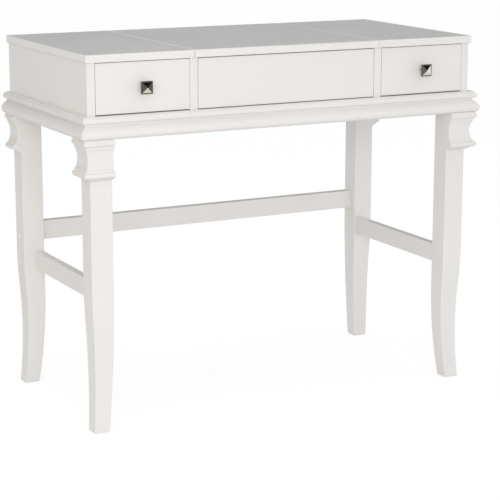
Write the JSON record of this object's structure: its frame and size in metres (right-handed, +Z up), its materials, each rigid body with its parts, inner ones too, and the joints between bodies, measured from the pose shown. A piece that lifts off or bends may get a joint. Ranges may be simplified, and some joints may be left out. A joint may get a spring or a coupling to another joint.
{
  "type": "vanity table with mirror",
  "caption": "White dressing table with a moulded case on sabre legs, two knobbed drawers and a centre flip-up lid that carries a mirror on its underside.",
  "frame": {"origin": "on the floor, under the middle of the overall box", "axes": "+X to the right as the user faces the drawers, +Y to the back, +Z up"},
  "size_m": [0.9366, 0.462, 0.77],
  "materials": {
    "white_paint": "semi-gloss white lacquer",
    "white_inside": "matt white lacquer",
    "bare_wood": "bare beech",
    "knob_metal": "polished dark bronze",
    "hardware": "zinc plated",
    "nylon": "moulded white nylon",
    "mirror": "silvered glass"
  },
  "bodies": {
    "table": {"left_side_panel": "white_paint", "right_side_panel": "white_paint", "back_panel": "white_paint", "left_divider": "white_paint", "right_divider": "white_paint", "front_rail": "white_paint", "centre_front": "white_paint", "centre_front_cleats": "white_inside", "case_bottom": "white_inside", "left_top": "white_paint", "right_top": "white_paint", "front_moulding": "white_paint", "left_moulding": "white_paint", "right_moulding": "white_paint", "front_left_leg": "white_paint", "front_right_leg": "white_paint", "rear_left_leg": "white_paint", "rear_right_leg": "white_paint", "front_left_capital": "white_paint", "front_right_capital": "white_paint", "rear_left_capital": "white_paint", "rear_right_capital": "white_paint", "left_stretcher": "white_paint", "right_stretcher": "white_paint", "back_stretcher": "white_paint", "stretcher_dowels": "bare_wood", "stretcher_connectors": "hardware", "bolt_caps": "nylon", "corner_blocks": "white_inside", "hanger_bolts": "hardware", "hanger_nuts": "hardware", "drawer_runners": "white_inside", "hinge_case_leaves": "hardware", "hinge_pins": "hardware", "case_screws": "hardware", "stay_case_bracket": "hardware", "lid_bumpers": "nylon"},
    "lid": {"lid_board": "white_paint", "mirror_glass": "mirror", "mirror_strip_front": "white_paint", "mirror_strip_back": "white_paint", "mirror_strip_left": "white_paint", "mirror_strip_right": "white_paint", "hinge_lid_leaves": "hardware", "lid_screws": "hardware", "stay_lid_bracket": "hardware"},
    "lower_arm": {"stay_lower_arm": "hardware"},
    "upper_arm": {"stay_upper_arm": "hardware"},
    "left_drawer": {"left_drawer_front": "white_paint", "left_drawer_sides": "white_inside", "left_drawer_back": "white_inside", "left_drawer_bottom": "white_inside", "left_knob": "knob_metal", "left_knob_screw": "hardware"},
    "right_drawer": {"right_drawer_front": "white_paint", "right_drawer_sides": "white_inside", "right_drawer_back": "white_inside", "right_drawer_bottom": "white_inside", "right_knob": "knob_metal", "right_knob_screw": "hardware"}
  },
  "joints": [
    {"name": "lid_hinge", "type": "hinge", "parent": "table", "child": "lid", "pos_m": [0, 0.22845, 0.7531], "axis": [-1, 0, 0], "range_deg": [0, 95]},
    {"name": "stay_case_pivot", "type": "hinge", "parent": "table", "child": "lower_arm", "pos_m": [0.2039, 0.15845, 0.6831], "axis": [-1, 0, 0], "range_deg": [0, 101.7]},
    {"name": "stay_lid_pivot", "type": "hinge", "parent": "lid", "child": "upper_arm", "pos_m": [0.2017, 0.11845, 0.7451], "axis": [1, 0, 0], "range_deg": [0, 100.1]},
    {"name": "left_drawer_slide", "type": "slide", "parent": "table", "child": "left_drawer", "axis": [0, -1, 0], "range_m": [0, 0.27]},
    {"name": "right_drawer_slide", "type": "slide", "parent": "table", "child": "right_drawer", "axis": [0, -1, 0], "range_m": [0, 0.27]}
  ],
  "couplings": [
    {"joint": "stay_case_pivot", "follows": "lid_hinge", "ratio": 1.07},
    {"joint": "stay_lid_pivot", "follows": "lid_hinge", "ratio": 1.0533}
  ]
}
